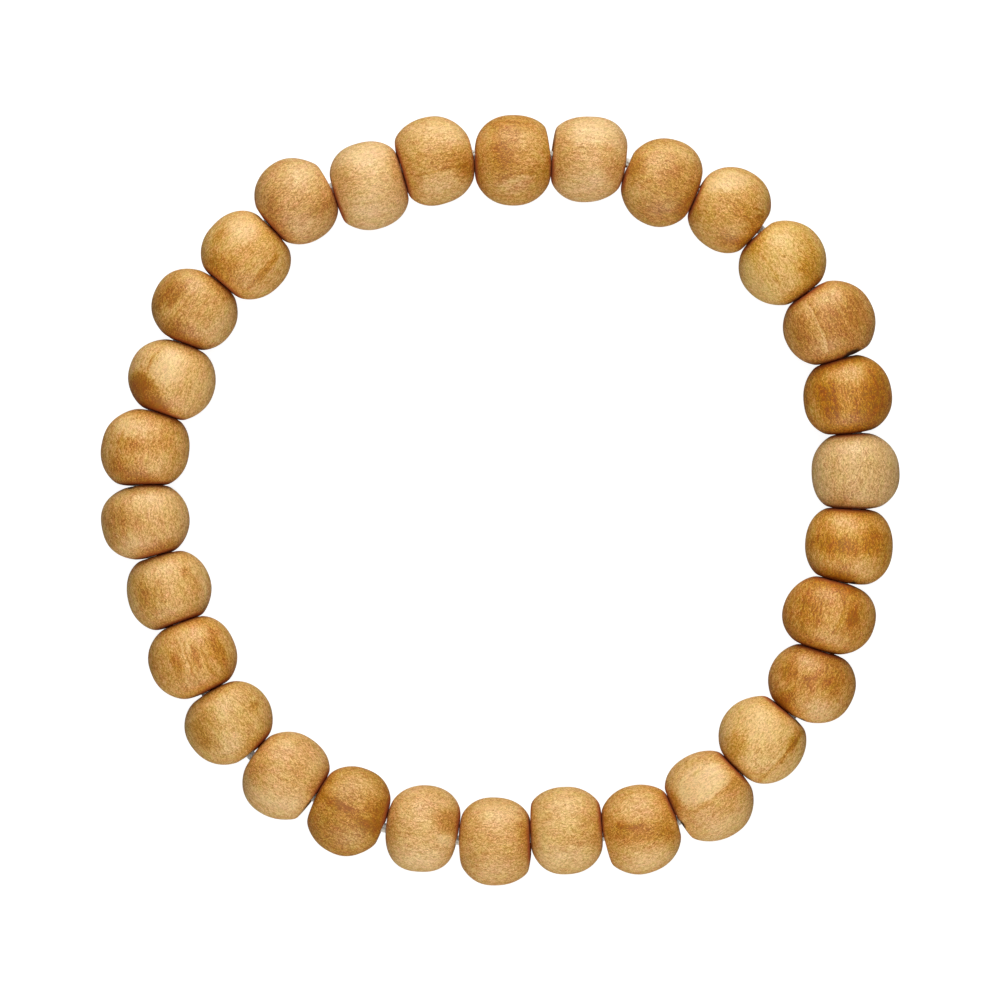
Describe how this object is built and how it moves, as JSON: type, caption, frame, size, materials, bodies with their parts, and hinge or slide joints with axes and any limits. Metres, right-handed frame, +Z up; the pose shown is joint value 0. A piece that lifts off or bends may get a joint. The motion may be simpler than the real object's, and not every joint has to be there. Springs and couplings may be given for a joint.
{
  "type": "wooden bead bracelet",
  "caption": "Stretch bracelet: a closed loop of sanded, unvarnished barrel beads in pale to amber wood, threaded on clear elastic and lying flat.",
  "frame": {"origin": "on the surface that the bracelet lies on, under the middle of the loop", "axes": "+Z up, along the way the wrist passes through the loop; the bead named bead_01 is near +Y and the others follow clockwise, seen from above"},
  "size_m": [0.0725, 0.0702, 0.0083],
  "materials": {
    "pale_wood": "satin",
    "honey_wood": "satin",
    "amber_wood": "satin",
    "elastic": "gloss"
  },
  "bodies": {
    "root": {"bead_01": "amber_wood", "bead_02": "pale_wood", "bead_03": "amber_wood", "bead_04": "honey_wood", "bead_05": "honey_wood", "bead_06": "amber_wood", "bead_07": "amber_wood", "bead_08": "pale_wood", "bead_09": "amber_wood", "bead_10": "honey_wood", "bead_11": "amber_wood", "bead_12": "pale_wood", "bead_13": "honey_wood", "bead_14": "amber_wood", "bead_15": "pale_wood", "bead_16": "honey_wood", "bead_17": "honey_wood", "bead_18": "amber_wood", "bead_19": "pale_wood", "bead_20": "honey_wood", "bead_21": "amber_wood", "bead_22": "honey_wood", "bead_23": "pale_wood", "bead_24": "honey_wood", "bead_25": "pale_wood", "bead_26": "amber_wood", "bead_27": "honey_wood", "bead_28": "honey_wood", "bead_29": "pale_wood", "bead_30": "honey_wood", "elastic_cord": "elastic"}
  },
  "joints": []
}
